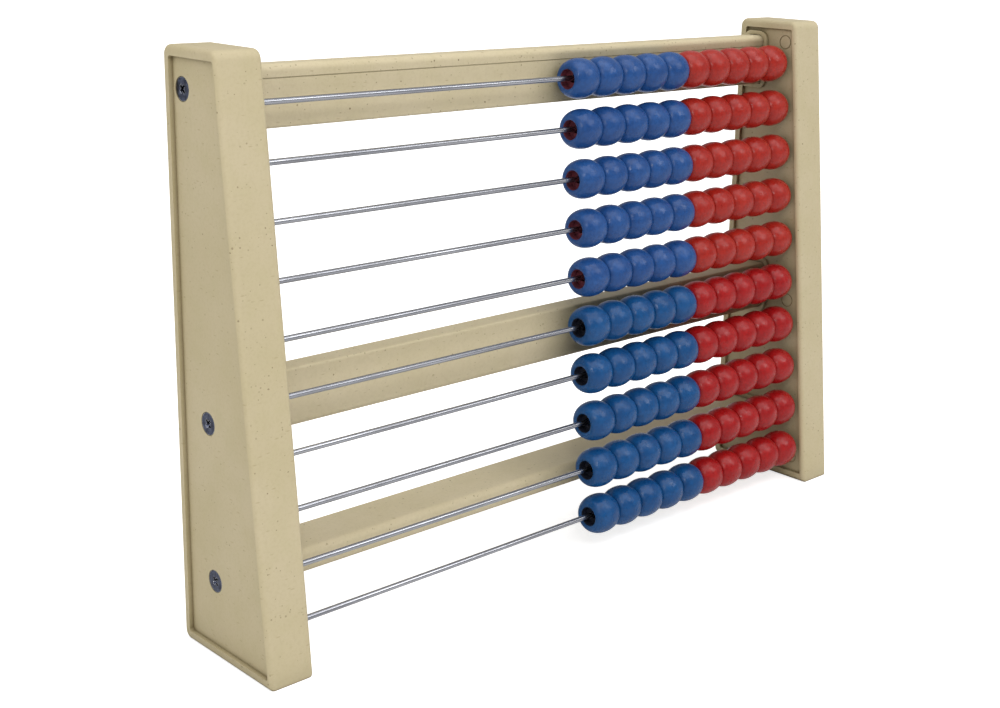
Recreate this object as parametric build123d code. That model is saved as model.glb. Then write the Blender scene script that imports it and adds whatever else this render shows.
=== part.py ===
"""Classroom bead frame: two moulded end panels, three cross rails, ten rods and a hundred beads.

Frame: X runs along the rods, -Y is the leaning front, +Z is up.
The origin is the middle of the footprint, on the surface that the frame stands on.
All sizes are in millimetres.
"""

from build123d import *

import math
import os

# Overall size
overall_length = 323.4
overall_height = 215.5
overall_depth = 55.6
front_setback = 24.0

# End panels
panel_thickness = 18.2
outline_radius = 3.5
toe_radius = 0.5
edge_round = 1.8
outer_recess = 1.7
inner_recess = 1.6
rim_width = 3.6
outer_front_rim = 1.6
inner_front_rim = 2.4
recess_corner_radius = 1.0

# Sockets that hold the rail ends, each inside a low collar
socket_depth = 7.5
socket_gap = 0.2
collar_wall = 1.8

# Ejector-pin rings on the inner faces: depth from the rear edge, height
pin_ring_radius = 3.2
pin_ring_width = 0.45
pin_ring_depth = 0.3
pin_ring_places = [(25.4, 206.0), (36.8, 86.5), (45.6, 10.6), (8.5, 150.0), (8.5, 60.0)]

# Cross rails: one section, with one edge rounder than the other, turned three ways
rail_width = 22.0
rail_thickness = 9.4
rail_nose_radius = 2.5
rail_corner_radius = 0.9
seam_from_nose = 4.8
seam_width = 0.4
seam_depth = 0.25
screw_from_nose = 7.0

# Rail name: depth of its middle from the rear edge, height of its middle, turn about X
rails = {
    "top_rail": (9.1, 197.25, 0),
    "middle_rail": (18.1, 91.2, 180),
    "bottom_rail": (15.4, 28.4, 90),
}

# Countersunk screws
screw_length = 25.0
screw_head_radius = 4.0
screw_head_rim = 0.4
screw_shank_radius = 1.75
screw_core_radius = 1.4
screw_crest_radius = 2.0
screw_thread_start = 7.5
screw_thread_pitch = 1.6
screw_thread_turns = 9
screw_hole_gap = 0.25
screw_head_gap = 0.25
screw_head_sink = 0.1
cross_slot_length = 3.6
cross_slot_width = 1.1
cross_slot_depth = 1.8
cross_slot_floor = 1.6
pilot_radius = 2.05
pilot_extra = 1.0

# Rods
rod_count = 10
rod_pitch = 20.0
rod_radius = 1.1
lowest_rod_height = 16.9
lowest_rod_depth = 44.8
highest_rod_depth = 22.9
rod_hole_gap = 0.03
rod_hole_depth = 8.0
rod_end_gap = 0.2
rod_mouth_chamfer = 0.5

# Beads: a long oval in section with softly rounded, counterbored ends, hanging a little low on the rod
bead_gap = 0.15
bead_shoulder_radius = 4.8
bead_counterbore_radius = 3.9
bead_counterbore_depth = 3.6
bead_bore_radius = 1.6
bead_hang = 0.3

# The five upper and the five lower rows: bead radius, bead length, where the last bead's middle rests on X
upper_rows = (8.1, 13.6, 136.45)
lower_rows = (8.35, 13.6, 135.3)
upper_row_count = 5

# The beads of each rod from left to right: colour and letter of the group, number of beads
bead_groups = [("blue_a", 2), ("blue_b", 3), ("red_a", 3), ("red_b", 2)]

# How far cutting shapes reach past the face that they cut
overcut = 1.0

# Worked out from the sizes above
half_length = overall_length / 2
rear_y = overall_depth / 2
front_lean = front_setback / overall_height
rim_plane = half_length - panel_thickness
inner_floor = rim_plane + inner_recess
outer_floor = half_length - outer_recess
socket_floor = rim_plane + socket_depth
screw_offset = rail_width / 2 - screw_from_nose
head_height = screw_head_rim + screw_head_radius - screw_shank_radius


def front_y(height):
    """Where the leaning front edge is at a height."""
    return front_lean * height - overall_depth / 2


def panel_outline(margin, front_margin, radius, front_foot_radius):
    """The panel's side view, in a margin from its edges."""
    top = overall_height - margin
    corners = [
        (rear_y - margin, margin),
        (front_y(margin) + front_margin, margin),
        (front_y(top) + front_margin, top),
        (rear_y - margin, top),
    ]
    radii = [radius, front_foot_radius, radius, radius]
    return make_face(Plane.YZ * FilletPolyline(*corners, radius=radii, close=True))


def rail_section(grow, corner_radius, nose_radius):
    """The rail's section in YZ about its middle, nose up."""
    half_t = rail_thickness / 2 + grow
    half_w = rail_width / 2 + grow
    corners = [(-half_t, -half_w), (half_t, -half_w), (half_t, half_w), (-half_t, half_w)]
    radii = [corner_radius, corner_radius, nose_radius, nose_radius]
    return make_face(Plane.YZ * FilletPolyline(*corners, radius=radii, close=True))


def along_x(face, start, end):
    """A solid with that section between two places on X."""
    return Pos(start, 0, 0) * extrude(face, amount=end - start, dir=(1, 0, 0))


def x_cylinder(radius, start, end):
    """A round bar along X, about Y = Z = 0."""
    middle = (start + end) / 2
    return Pos(middle, 0, 0) * Rot(0, 90, 0) * Cylinder(radius, end - start)


def rail_place(name):
    """Where a rail's section goes, and how it is turned."""
    depth, height, turn = rails[name]
    return Pos(0, rear_y - depth, height) * Rot(turn, 0, 0)


def rod_place(index):
    """The middle of a rod, counted from the top."""
    height = lowest_rod_height + (rod_count - 1 - index) * rod_pitch
    share = index / (rod_count - 1)
    depth = highest_rod_depth + share * (lowest_rod_depth - highest_rod_depth)
    return Pos(0, rear_y - depth, height)


def rail(name):
    """A cross rail with its seam and a pilot hole in each end."""
    body = along_x(rail_section(0, rail_corner_radius, rail_nose_radius), -socket_floor, socket_floor)
    seam_height = rail_width / 2 - seam_from_nose
    seam = Pos(0, -rail_thickness / 2, seam_height) * Box(2 * socket_floor, 2 * seam_depth, seam_width)
    body = body - seam
    pilot_depth = screw_length - (outer_floor - socket_floor) + pilot_extra
    for side in (-1, 1):
        start = side * (socket_floor - pilot_depth)
        end = side * socket_floor
        pilot = x_cylinder(pilot_radius, min(start, end), max(start, end))
        body = body - Pos(0, 0, screw_offset) * pilot
    return rail_place(name) * body


def panel_slab():
    """The right-hand panel's rounded slab with a recess in each face."""
    slab = along_x(panel_outline(0, 0, outline_radius, toe_radius), rim_plane, half_length)
    side_faces = slab.faces().filter_by(Axis.X)
    slab = fillet(side_faces.edges(), edge_round)
    outer = panel_outline(rim_width, outer_front_rim, recess_corner_radius, recess_corner_radius)
    slab = slab - along_x(outer, outer_floor, half_length + overcut)
    inner = panel_outline(rim_width, inner_front_rim, recess_corner_radius, recess_corner_radius)
    slab = slab - along_x(inner, rim_plane - overcut, inner_floor)
    return slab


def collar(name):
    """The low collar round a rail's socket, trimmed to stay on the panel."""
    grow = socket_gap + collar_wall
    section = rail_section(grow, rail_corner_radius + grow, rail_nose_radius + grow)
    ring = rail_place(name) * along_x(section, rim_plane, inner_floor + overcut)
    margin = rim_width / 2
    limit = along_x(panel_outline(margin, margin, outline_radius, outline_radius), rim_plane, half_length)
    return ring & limit


def socket(name):
    """The pocket that a rail's end sits in."""
    section = rail_section(socket_gap, rail_corner_radius, rail_nose_radius + socket_gap)
    return rail_place(name) * along_x(section, rim_plane - overcut, socket_floor)


def screw_hole(name):
    """The countersunk hole from the outer face into a rail's socket."""
    hole_radius = screw_shank_radius + screw_hole_gap
    shaft = x_cylinder(hole_radius, socket_floor - overcut, outer_floor + overcut)
    sink_radius = screw_head_radius + screw_head_gap
    cone_depth = sink_radius - hole_radius
    cone_end = outer_floor - screw_head_sink - screw_head_rim
    cone = Pos(cone_end - cone_depth / 2, 0, 0) * Rot(0, 90, 0) * Cone(hole_radius, sink_radius, cone_depth)
    mouth = x_cylinder(sink_radius, cone_end, outer_floor + overcut)
    return rail_place(name) * Pos(0, 0, screw_offset) * (shaft + cone + mouth)


def rod_hole():
    """A blind hole for one rod, its mouth chamfered."""
    radius = rod_radius + rod_hole_gap
    hole = x_cylinder(radius, rim_plane, inner_floor + rod_hole_depth)
    chamfer = Pos(inner_floor + rod_mouth_chamfer / 2, 0, 0) * Rot(0, 90, 0)
    return hole + chamfer * Cone(radius + rod_mouth_chamfer, radius, rod_mouth_chamfer)


def pin_rings():
    """The shallow rings that ejector pins leave on the inner face."""
    ring = Cylinder(pin_ring_radius, pin_ring_depth)
    ring = ring - Cylinder(pin_ring_radius - pin_ring_width, pin_ring_depth)
    at_floor = Rot(0, 90, 0) * ring
    middle = inner_floor + pin_ring_depth / 2
    places = [Pos(middle, rear_y - depth, height) for depth, height in pin_ring_places]
    return [place * at_floor for place in places]


def end_panel_right():
    """The right-hand end panel."""
    panel = panel_slab()
    for name in rails:
        panel = panel + collar(name)
    for name in rails:
        panel = panel - socket(name)
        panel = panel - screw_hole(name)
    for index in range(rod_count):
        panel = panel - rod_place(index) * rod_hole()
    for ring in pin_rings():
        panel = panel - ring
    return panel


def screw_profile():
    """Half the screw's outline: head at X = 0, point towards +X, axis on Y = 0."""
    points = [(0, 0), (0, screw_head_radius), (screw_head_rim, screw_head_radius)]
    points.append((head_height, screw_shank_radius))
    points.append((screw_thread_start, screw_shank_radius))
    x = screw_thread_start + screw_thread_pitch / 4
    points.append((x, screw_core_radius))
    for _ in range(screw_thread_turns):
        points.append((x + screw_thread_pitch / 2, screw_crest_radius))
        x += screw_thread_pitch
        points.append((x, screw_core_radius))
    points.append((screw_length, 0))
    return points


def screw():
    """One countersunk screw with a cross recess, pointing towards +X."""
    outline = make_face(Plane.XY * Polyline(*screw_profile(), close=True))
    body = revolve(outline, Axis.X)
    half = cross_slot_length / 2
    floor = cross_slot_floor / 2
    slot_points = [(-overcut, -half), (0, -half), (cross_slot_depth, -floor)]
    slot_points += [(cross_slot_depth, floor), (0, half), (-overcut, half)]
    slot_face = make_face(Plane.XY * Polyline(*slot_points, close=True))
    slot = extrude(slot_face, amount=cross_slot_width / 2, both=True)
    for turn in (45, 135):
        body = body - Rot(turn, 0, 0) * slot
    return body


def screws_right():
    """The three screws of the right-hand panel."""
    head_face = outer_floor - screw_head_sink
    inward = Pos(head_face, 0, 0) * Rot(0, 0, 180) * screw()
    return [rail_place(name) * Pos(0, 0, screw_offset) * inward for name in rails]


def rod(index):
    """One rod, its ends inside the blind holes."""
    end = inner_floor + rod_hole_depth - rod_end_gap
    return rod_place(index) * x_cylinder(rod_radius, -end, end)


def bead(radius, length):
    """One bead about the origin, its hole along X."""
    half = length / 2
    lip = bead_shoulder_radius - bead_counterbore_radius
    inset = half - lip
    bulge = radius - bead_shoulder_radius
    step = half - bead_counterbore_depth
    lip_middle = lip * math.sqrt(0.5)
    lip_height = bead_shoulder_radius - lip_middle
    outside = EllipticalCenterArc((0, bead_shoulder_radius), half, bulge, start_angle=0, arc_size=180)
    right_lip = ThreePointArc(
        (half, bead_shoulder_radius), (inset + lip_middle, lip_height), (inset, bead_counterbore_radius))
    left_lip = ThreePointArc(
        (-inset, bead_counterbore_radius), (-inset - lip_middle, lip_height), (-half, bead_shoulder_radius))
    hole = Polyline(
        (inset, bead_counterbore_radius),
        (step, bead_counterbore_radius),
        (step, bead_bore_radius),
        (-step, bead_bore_radius),
        (-step, bead_counterbore_radius),
        (-inset, bead_counterbore_radius),
    )
    return revolve(make_face(Plane.XY * (outside + right_lip + hole + left_lip)), Axis.X)


def bead_places(index, pitch, last):
    """Where the ten beads of one rod rest, left to right, the last one's middle given on X."""
    total = sum(count for _, count in bead_groups)
    steps = [last - (total - 1 - i) * pitch for i in range(total)]
    return [rod_place(index) * Pos(x, 0, -bead_hang) for x in steps]


def save(name, solids):
    """Write one node, as one solid or a group of separate solids."""
    shape = solids[0] if len(solids) == 1 else Compound(children=solids)
    export_step(shape, f"parts/{name}.step")


def save_beads():
    """Write the bead groups of every rod."""
    kinds = [(bead(radius, length), length + bead_gap, last) for radius, length, last in (upper_rows, lower_rows)]
    for index in range(rod_count):
        one, pitch, last = kinds[0] if index < upper_row_count else kinds[1]
        places = bead_places(index, pitch, last)
        for group, count in bead_groups:
            solids = [place * one for place in places[:count]]
            places = places[count:]
            save(f"beads_{index + 1:02d}_{group}", solids)


def main():
    os.makedirs("parts", exist_ok=True)
    right = end_panel_right()
    save("end_panel_right", [right])
    save("end_panel_left", [mirror(right, about=Plane.YZ)])
    for name in rails:
        save(name, [rail(name)])
    screws = screws_right()
    save("rail_screws_right", screws)
    save("rail_screws_left", [mirror(item, about=Plane.YZ) for item in screws])
    for index in range(rod_count):
        save(f"rod_{index + 1:02d}", [rod(index)])
    save_beads()


main()
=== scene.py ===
import math

import bpy
from mathutils import Matrix, Vector


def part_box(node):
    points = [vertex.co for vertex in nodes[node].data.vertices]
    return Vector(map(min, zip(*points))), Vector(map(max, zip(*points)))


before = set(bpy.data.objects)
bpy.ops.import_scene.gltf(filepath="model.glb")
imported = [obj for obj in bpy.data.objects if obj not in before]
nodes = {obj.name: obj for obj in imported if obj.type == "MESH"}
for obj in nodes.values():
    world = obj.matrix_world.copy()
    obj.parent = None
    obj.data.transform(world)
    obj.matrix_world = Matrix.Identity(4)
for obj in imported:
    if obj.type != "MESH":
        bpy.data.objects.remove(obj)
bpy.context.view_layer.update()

scene = bpy.context.scene

# The rods from the top, and the bead groups on each, from left to right
ROWS = range(1, 11)
UPPER_ROWS = range(1, 6)
GROUPS = ("blue_a", "blue_b", "red_a", "red_b")

# A bead's hole: its faces that look at the rod within this radius in metres, and within
# this share of it whichever way they look, which takes in the counterbore's step
BORE_RADIUS = 0.00405
BORE_STEP_SHARE = 0.85

# Dark grains in the plastic: cells per metre, how rare, how dark, shift of the pattern
GRAINS = (
    (210.0, 0.72, 0.85, 0.0),
    (330.0, 0.55, 0.70, 0.37),
    (560.0, 0.65, 0.50, 0.71),
)
GRAIN_RADIUS_LEAST = 0.00008
GRAIN_RADIUS_RANGE = 0.00026
GRAIN_SOFT_OUT = 0.00012
GRAIN_SOFT_IN = 0.00006
GRAIN_WOBBLE = 0.0005

# Faint short fibres: turn and shift of each layer
FIBRES = ((0.35, 0.1), (1.35, 0.6), (2.45, 1.3))
FIBRE_CELLS = (170.0, 170.0, 640.0)
FIBRE_RARITY = 0.86

# The photograph's viewpoint: degrees, metres and millimetres
CAMERA_AZIMUTH = -43.74
CAMERA_ELEVATION = 15.50
CAMERA_ROLL = 1.40
CAMERA_PLACE = (-0.4187, -0.4135, 0.2585)
CAMERA_LENS = 53.451
CAMERA_SENSOR = 36.0
CAMERA_SHIFT = (-0.0165, -0.0256)

FLOOR_HALF = 12.0


# ---------------------------------------------------------------- node trees

class Net:
    """A node tree with short calls for adding and joining nodes."""

    def __init__(self, tree):
        self.tree = tree

    def node(self, kind, **settings):
        made = self.tree.nodes.new(kind)
        for key, value in settings.items():
            setattr(made, key, value)
        return made

    def join(self, value, socket):
        if hasattr(value, "is_output"):
            self.tree.links.new(value, socket)
        else:
            socket.default_value = value

    def math(self, operation, *values):
        made = self.node("ShaderNodeMath", operation=operation)
        for place, value in enumerate(values):
            self.join(value, made.inputs[place])
        return made.outputs[0]

    def times(self, a, b):
        return self.math("MULTIPLY", a, b)

    def ramp(self, value, low, high, to_low=0.0, to_high=1.0):
        """value from low to high becomes to_low to to_high, smoothly and clamped."""
        made = self.node("ShaderNodeMapRange", interpolation_type="SMOOTHSTEP", clamp=True)
        for place, number in enumerate((value, low, high, to_low, to_high)):
            self.join(number, made.inputs[place])
        return made.outputs[0]

    def mix(self, share, a, b):
        made = self.node("ShaderNodeMix", data_type="RGBA", blend_type="MIX")
        self.join(share, made.inputs[0])
        self.join(a, made.inputs[6])
        self.join(b, made.inputs[7])
        return made.outputs[2]

    def channels(self, colour):
        made = self.node("ShaderNodeSeparateColor")
        self.join(colour, made.inputs[0])
        return made.outputs

    def place(self, scale=(1.0, 1.0, 1.0), turn=(0.0, 0.0, 0.0), shift=(0.0, 0.0, 0.0)):
        """Object coordinates, which are the frame's own in metres, scaled and turned."""
        coordinates = self.node("ShaderNodeTexCoord")
        made = self.node("ShaderNodeMapping")
        self.join(coordinates.outputs["Object"], made.inputs[0])
        self.join(shift, made.inputs[1])
        self.join(turn, made.inputs[2])
        self.join(scale, made.inputs[3])
        return made.outputs[0]

    def noise(self, where, scale, detail=2.0, rough=0.5):
        made = self.node("ShaderNodeTexNoise")
        self.join(where, made.inputs["Vector"])
        self.join(scale, made.inputs["Scale"])
        self.join(detail, made.inputs["Detail"])
        self.join(rough, made.inputs["Roughness"])
        return made.outputs["Fac"]

    def cells(self, where, scale):
        made = self.node("ShaderNodeTexVoronoi", feature="F1")
        self.join(where, made.inputs["Vector"])
        self.join(scale, made.inputs["Scale"])
        return made

    def bump(self, height, distance, strength, under=None):
        made = self.node("ShaderNodeBump")
        self.join(strength, made.inputs["Strength"])
        self.join(distance, made.inputs["Distance"])
        self.join(height, made.inputs["Height"])
        if under is not None:
            self.join(under, made.inputs["Normal"])
        return made.outputs[0]

    def edge(self, radius):
        """About 0 on flat areas and up to 1 where an edge is nearer than radius."""
        bevel = self.node("ShaderNodeBevel", samples=6)
        self.join(radius, bevel.inputs["Radius"])
        geometry = self.node("ShaderNodeNewGeometry")
        dot = self.node("ShaderNodeVectorMath", operation="DOT_PRODUCT")
        self.join(bevel.outputs[0], dot.inputs[0])
        self.join(geometry.outputs["Normal"], dot.inputs[1])
        return self.ramp(dot.outputs["Value"], 0.995, 0.80)

    def crevice(self, reach, low, high):
        """0 in the open and 1 deep in a gap or corner no wider than about reach."""
        made = self.node("ShaderNodeAmbientOcclusion", samples=8)
        self.join(reach, made.inputs["Distance"])
        return self.ramp(made.outputs["AO"], high, low)


def linear(red, green, blue):
    """An sRGB colour given as 0 to 255, as linear RGBA."""
    out = []
    for value in (red, green, blue):
        value /= 255.0
        out.append(value / 12.92 if value <= 0.04045 else ((value + 0.055) / 1.055) ** 2.4)
    return (*out, 1.0)


def shader_of(name):
    """A new material, its node tree and its shader."""
    made = bpy.data.materials.new(name)
    made.use_nodes = True
    return made, Net(made.node_tree), made.node_tree.nodes["Principled BSDF"]


# ---------------------------------------------------------------- materials

def grain_layer(net, seed, scale, rarity, strength, shift):
    """Round dark grains with an uneven outline, in some of the cells."""
    spread = net.place(shift=(seed + shift, shift, seed - shift))
    bend = net.node("ShaderNodeTexNoise")
    net.join(spread, bend.inputs["Vector"])
    net.join(700.0, bend.inputs["Scale"])
    soft = net.node("ShaderNodeVectorMath", operation="SCALE")
    net.join(bend.outputs["Color"], soft.inputs[0])
    net.join(GRAIN_WOBBLE, soft.inputs["Scale"])
    wobble = net.node("ShaderNodeVectorMath", operation="ADD")
    net.join(spread, wobble.inputs[0])
    net.join(soft.outputs[0], wobble.inputs[1])
    cells = net.cells(wobble.outputs[0], scale)
    pick = net.channels(cells.outputs["Color"])
    size = net.math("MULTIPLY_ADD", pick[0], GRAIN_RADIUS_RANGE * scale, GRAIN_RADIUS_LEAST * scale)
    outside = net.math("SUBTRACT", cells.outputs["Distance"], size)
    spot = net.ramp(outside, GRAIN_SOFT_OUT * scale, -GRAIN_SOFT_IN * scale)
    kept = net.math("GREATER_THAN", pick[1], rarity)
    depth = net.math("MULTIPLY_ADD", pick[2], strength * 0.6, strength * 0.4)
    return net.times(net.times(spot, kept), depth)


def fibre_layer(net, seed, turn, shift):
    """Short faint fibres that lie one way."""
    long = net.place(FIBRE_CELLS, (turn, turn * 0.8, turn), (seed + shift, shift, seed))
    hair = net.cells(long, 1.0)
    pick = net.channels(hair.outputs["Color"])
    line = net.ramp(hair.outputs["Distance"], 0.22, 0.02)
    return net.times(line, net.math("GREATER_THAN", pick[0], FIBRE_RARITY))


def most_of(net, layers):
    """The strongest of some layers."""
    most = layers[0]
    for layer in layers[1:]:
        most = net.math("MAXIMUM", most, layer)
    return most


def speckled_plastic(name, base, shade, tint, seed, crevice_shade):
    """Moulded plastic: cloudy tan, dark grains, faint fibres, paler edges, painted brown shade in corners
    and gaps.
    """
    made, net, shader = shader_of(name)
    here = net.place(shift=(seed, seed * 0.7, seed * 0.3))

    cloud = net.ramp(net.noise(here, 22.0, 3.0, 0.55), 0.3, 0.7)
    patch = net.ramp(net.noise(here, 95.0, 3.0, 0.6), 0.35, 0.75)
    fine = net.noise(here, 900.0, 3.0, 0.6)
    colour = net.mix(net.times(cloud, 0.6), base, shade)
    colour = net.mix(net.times(patch, 0.35), colour, tint)
    colour = net.mix(net.ramp(fine, 0.42, 0.72, 0.0, 0.10), colour, linear(150, 130, 92))

    grains = most_of(net, [grain_layer(net, seed, *layer) for layer in GRAINS])
    colour = net.mix(grains, colour, linear(92, 66, 38))
    fibres = most_of(net, [fibre_layer(net, seed, *layer) for layer in FIBRES])
    colour = net.mix(net.times(fibres, 0.34), colour, linear(138, 114, 74))

    edge = net.edge(0.0016)
    worn = net.times(edge, net.ramp(net.noise(here, 140.0, 3.0, 0.6), 0.3, 0.65))
    colour = net.mix(net.times(worn, 0.35), colour, linear(214, 200, 160))
    # Painted shade: brown darkening in tight corners and recess steps (near), and broadly around close
    # parts such as the beads (wide).
    near = net.crevice(0.0025, 0.35, 0.85)
    wide = net.crevice(0.016, 0.15, 0.95)
    colour = net.mix(net.times(wide, 0.45), colour, linear(106, 98, 66))
    colour = net.mix(net.times(near, crevice_shade), colour, linear(88, 70, 36))
    net.join(colour, shader.inputs["Base Color"])

    rough = net.ramp(net.noise(here, 60.0, 3.0, 0.6), 0.3, 0.7, 0.46, 0.62)
    net.join(net.math("SUBTRACT", rough, net.times(edge, 0.08)), shader.inputs["Roughness"])
    shader.inputs["Specular IOR Level"].default_value = 0.30

    skin = net.bump(fine, 0.00005, 0.6)
    wave = net.bump(net.noise(here, 45.0, 2.0, 0.5), 0.00030, 0.5, skin)
    pits = net.bump(net.math("SUBTRACT", 1.0, grains), 0.0001, 0.5, wave)
    net.join(pits, shader.inputs["Normal"])
    return made


def bead_plastic(name, base, pale, deep, seed):
    """Lacquered bead: satin colour, mottled gloss, small dents and rubbed end rims."""
    made, net, shader = shader_of(name)
    here = net.place(shift=(seed, seed * 0.4, seed * 0.9))

    cloud = net.ramp(net.noise(here, 110.0, 3.0, 0.6), 0.35, 0.7)
    fine = net.noise(here, 700.0, 3.0, 0.6)
    colour = net.mix(net.times(cloud, 0.5), base, pale)
    colour = net.mix(net.ramp(fine, 0.35, 0.7, 0.0, 0.25), colour, deep)
    dust = net.cells(here, 420.0)
    pick = net.channels(dust.outputs["Color"])
    dot = net.ramp(dust.outputs["Distance"], 0.16, 0.06)
    dot = net.times(dot, net.math("GREATER_THAN", pick[0], 0.93))
    colour = net.mix(net.times(dot, 0.3), colour, pale)
    worn = net.times(net.edge(0.0006), net.ramp(net.noise(here, 260.0, 3.0, 0.6), 0.35, 0.6))
    colour = net.mix(net.times(worn, 0.3), colour, pale)
    # Painted shade: the colour turns towards the deep tone in the gaps where beads touch.
    colour = net.mix(net.times(net.crevice(0.006, 0.1, 0.6), 0.2), colour, deep)
    net.join(colour, shader.inputs["Base Color"])

    rough = net.ramp(net.noise(here, 240.0, 4.0, 0.65), 0.34, 0.66, 0.22, 0.42)
    net.join(rough, shader.inputs["Roughness"])
    shader.inputs["Specular IOR Level"].default_value = 0.24
    shader.inputs["Coat Weight"].default_value = 0.12
    shader.inputs["Coat Roughness"].default_value = 0.17

    dents = net.bump(net.noise(here, 420.0, 3.0, 0.6), 0.00032, 0.8)
    skin = net.bump(fine, 0.00004, 0.5, dents)
    net.join(skin, shader.inputs["Normal"])
    net.join(skin, shader.inputs["Coat Normal"])
    return made


def painted_bore_shade(name, base, deep, seed):
    """The inside of a bead's hole, painted dark as shade: dull, with a cloudy mix of two tones."""
    made, net, shader = shader_of(name)
    here = net.place(shift=(seed, seed, seed))
    share = net.ramp(net.noise(here, 420.0, 3.0, 0.6), 0.3, 0.7)
    net.join(net.mix(share, base, deep), shader.inputs["Base Color"])
    net.join(net.ramp(share, 0.0, 1.0, 0.6, 0.8), shader.inputs["Roughness"])
    shader.inputs["Specular IOR Level"].default_value = 0.25
    net.join(net.bump(net.noise(here, 900.0, 3.0, 0.6), 0.00005, 0.5), shader.inputs["Normal"])
    return made


def drawn_steel(name):
    """Bright drawn wire: fine scratches along its length and a few dull patches."""
    made, net, shader = shader_of(name)
    streak = net.noise(net.place(scale=(18.0, 2600.0, 2600.0)), 1.0, 3.0, 0.6)
    dull = net.ramp(net.noise(net.place(), 70.0, 3.0, 0.6), 0.4, 0.75)
    colour = net.mix(net.ramp(streak, 0.3, 0.7), linear(182, 184, 190), linear(142, 144, 152))
    colour = net.mix(net.times(dull, 0.25), colour, linear(120, 118, 120))
    net.join(colour, shader.inputs["Base Color"])
    shader.inputs["Metallic"].default_value = 1.0
    rough = net.ramp(streak, 0.3, 0.7, 0.16, 0.30)
    net.join(net.math("MULTIPLY_ADD", dull, 0.08, rough), shader.inputs["Roughness"])
    net.join(net.bump(streak, 0.00003, 0.5), shader.inputs["Normal"])
    return made


def zinc_steel(name):
    """Plated screw: dark bluish metal, cloudy plating, and worn edges brightened further into a painted
    glint.
    """
    made, net, shader = shader_of(name)
    here = net.place()
    cloud = net.ramp(net.noise(here, 500.0, 3.0, 0.6), 0.3, 0.7)
    colour = net.mix(cloud, linear(84, 90, 110), linear(38, 42, 60))
    # Painted glint: the edges turn near white, more than wear alone would make them.
    colour = net.mix(net.times(net.edge(0.0003), 0.8), colour, linear(232, 234, 238))
    net.join(colour, shader.inputs["Base Color"])
    shader.inputs["Metallic"].default_value = 1.0
    net.join(net.ramp(cloud, 0.0, 1.0, 0.14, 0.26), shader.inputs["Roughness"])
    net.join(net.bump(net.noise(here, 1500.0, 2.0, 0.5), 0.00003, 0.5), shader.inputs["Normal"])
    return made


def dress(node, *materials):
    """Gives a CAD node its materials, one slot for each."""
    mesh = nodes[node].data
    mesh.materials.clear()
    for material in materials:
        mesh.materials.append(material)
    return mesh


def dress_beads(node, outside, bore):
    """Gives a bead group its colour, and the holes' walls their painted shade."""
    mesh = dress(node, outside, bore)
    low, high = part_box(node)
    middle = (low + high) / 2
    for face in mesh.polygons:
        out = Vector((0.0, face.center.y - middle.y, face.center.z - middle.z))
        away = math.hypot(face.center.y - middle.y, face.center.z - middle.z)
        inward = face.normal.dot(out) < 0.0 or away < BORE_RADIUS * BORE_STEP_SHARE
        face.material_index = 1 if away < BORE_RADIUS and inward else 0


def dress_frame():
    """The end panels, rails, screws and rods."""
    panel = speckled_plastic(
        "panel_plastic", linear(199, 186, 154), linear(192, 179, 144), linear(187, 176, 136), 0.0, 0.65)
    rail = speckled_plastic(
        "rail_plastic", linear(209, 196, 165), linear(202, 189, 155), linear(197, 185, 147), 3.7, 0.25)
    rod_steel = drawn_steel("rod_steel")
    screw_steel = zinc_steel("screw_steel")
    for side in ("left", "right"):
        dress(f"end_panel_{side}", panel)
        dress(f"rail_screws_{side}", screw_steel)
    for name in ("top_rail", "middle_rail", "bottom_rail"):
        dress(name, rail)
    for row in ROWS:
        dress(f"rod_{row:02d}", rod_steel)


def dress_rows():
    """The beads: the five lower rows are a little deeper in colour, and the painted shade in their holes
    is darker.
    """
    upper = {
        "blue": bead_plastic(
            "blue_bead_upper", linear(30, 72, 132), linear(46, 92, 156), linear(14, 36, 78), 1.0),
        "red": bead_plastic(
            "red_bead_upper", linear(160, 34, 25), linear(178, 50, 38), linear(94, 14, 14), 3.0),
        # Painted shade inside the holes: dark maroon in these upper rows, near-black navy in the lower
        # rows.
        "bore": painted_bore_shade("bead_bore_upper", linear(118, 54, 66), linear(86, 40, 52), 5.0),
    }
    lower = {
        "blue": bead_plastic(
            "blue_bead_lower", linear(14, 70, 124), linear(28, 90, 148), linear(6, 36, 72), 2.0),
        "red": bead_plastic(
            "red_bead_lower", linear(154, 17, 20), linear(174, 34, 33), linear(88, 8, 13), 4.0),
        "bore": painted_bore_shade("bead_bore_lower", linear(34, 38, 54), linear(20, 22, 32), 6.0),
    }
    for row in ROWS:
        kinds = upper if row in UPPER_ROWS else lower
        for group in GROUPS:
            colour = group.split("_")[0]
            dress_beads(f"beads_{row:02d}_{group}", kinds[colour], kinds["bore"])


# ---------------------------------------------------------------- camera

def make_camera():
    """The photograph's viewpoint: in front, to the left, a little above."""
    azimuth, elevation, roll = (
        math.radians(value) for value in (CAMERA_AZIMUTH, CAMERA_ELEVATION, CAMERA_ROLL))
    back = Vector((
        math.sin(azimuth) * math.cos(elevation),
        -math.cos(azimuth) * math.cos(elevation),
        math.sin(elevation)))
    across = Vector((math.cos(azimuth), math.sin(azimuth), 0.0))
    over = back.cross(across)
    right = math.cos(roll) * across + math.sin(roll) * over
    up = math.cos(roll) * over - math.sin(roll) * across
    data = bpy.data.cameras.new("camera")
    data.sensor_width = CAMERA_SENSOR
    data.lens = CAMERA_LENS
    data.shift_x, data.shift_y = CAMERA_SHIFT
    data.clip_start = 0.02
    data.clip_end = 60.0
    camera = bpy.data.objects.new("camera", data)
    scene.collection.objects.link(camera)
    place = Matrix((right, up, back)).transposed().to_4x4()
    place.translation = Vector(CAMERA_PLACE)
    camera.matrix_world = place
    scene.camera = camera


# ---------------------------------------------------------------- studio

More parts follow.
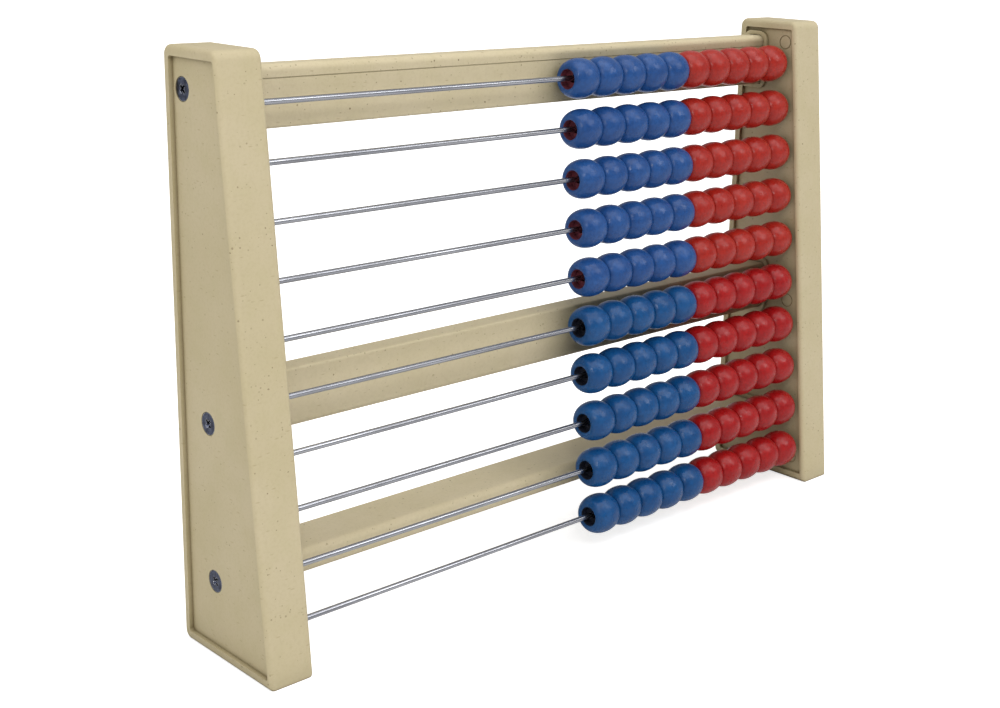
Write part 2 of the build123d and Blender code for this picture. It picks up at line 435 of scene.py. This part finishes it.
def make_floor():
    """A large pale floor at the height that the frame stands on, lighter still to the camera."""
    mesh = bpy.data.meshes.new("floor")
    half = FLOOR_HALF
    corners = [(-half, -half, 0), (half, -half, 0), (half, half, 0), (-half, half, 0)]
    mesh.from_pydata(corners, [], [(0, 1, 2, 3)])
    floor = bpy.data.objects.new("floor", mesh)
    scene.collection.objects.link(floor)
    made, net, shader = shader_of("floor")
    tone = net.noise(net.place(), 3.0, 2.0, 0.5)
    pale = net.mix(tone, (0.80, 0.80, 0.80, 1.0), (0.82, 0.82, 0.825, 1.0))
    net.join(pale, shader.inputs["Base Color"])
    shader.inputs["Roughness"].default_value = 0.9
    shader.inputs["Specular IOR Level"].default_value = 0.1
    shader.inputs["Emission Color"].default_value = (1.0, 1.0, 1.0, 1.0)
    path = net.node("ShaderNodeLightPath")
    net.join(net.times(path.outputs["Is Camera Ray"], 0.70), shader.inputs["Emission Strength"])
    mesh.materials.append(made)


def area_light(name, place, aim, size, power, colour=(1.0, 1.0, 1.0)):
    """A rectangular lamp, from a place towards an aim."""
    data = bpy.data.lights.new(name, "AREA")
    data.shape = "RECTANGLE"
    data.size, data.size_y = size
    data.energy = power
    data.color = colour
    light = bpy.data.objects.new(name, data)
    scene.collection.objects.link(light)
    light.location = place
    light.rotation_mode = "QUATERNION"
    light.rotation_quaternion = (Vector(aim) - Vector(place)).to_track_quat("-Z", "Y")


def overhead_light():
    """A very broad, even light from above, a little to the front."""
    data = bpy.data.lights.new("overhead", "SUN")
    data.energy = 1.55
    data.angle = math.radians(60.0)
    light = bpy.data.objects.new("overhead", data)
    scene.collection.objects.link(light)
    light.rotation_mode = "QUATERNION"
    light.rotation_quaternion = Vector((-0.05, 0.25, -0.95)).to_track_quat("-Z", "Y")


def make_world():
    """Soft studio surround: an even, moderate glow, plain white to the camera."""
    world = bpy.data.worlds.new("studio")
    world.use_nodes = True
    scene.world = world
    net = Net(world.node_tree)
    background = world.node_tree.nodes["Background"]
    coordinates = net.node("ShaderNodeTexCoord")
    axes = net.node("ShaderNodeSeparateXYZ")
    net.join(coordinates.outputs["Generated"], axes.inputs[0])
    glow = net.ramp(axes.outputs[2], 0.0, 0.9, 0.36, 0.46)
    grey = net.node("ShaderNodeCombineColor")
    for channel in range(3):
        net.join(glow, grey.inputs[channel])
    path = net.node("ShaderNodeLightPath")
    shown = net.mix(path.outputs["Is Camera Ray"], grey.outputs[0], (1.0, 1.0, 1.0, 1.0))
    net.join(shown, background.inputs[0])
    background.inputs[1].default_value = 1.0


make_camera()
dress_frame()
dress_rows()
make_floor()
make_world()
overhead_light()
area_light("key", (0.75, -0.95, 0.95), (0.0, 0.0, 0.1), (0.5, 0.5), 3.2)
area_light("fill", (-1.2, -0.3, 0.6), (0.0, 0.0, 0.1), (0.9, 0.7), 2.0, (1.0, 0.95, 0.78))
area_light("gloss", (-0.62, -0.72, 0.78), (0.08, 0.0, 0.1), (0.18, 0.26), 2.3)

scene.view_settings.view_transform = "Standard"
scene.view_settings.look = "None"
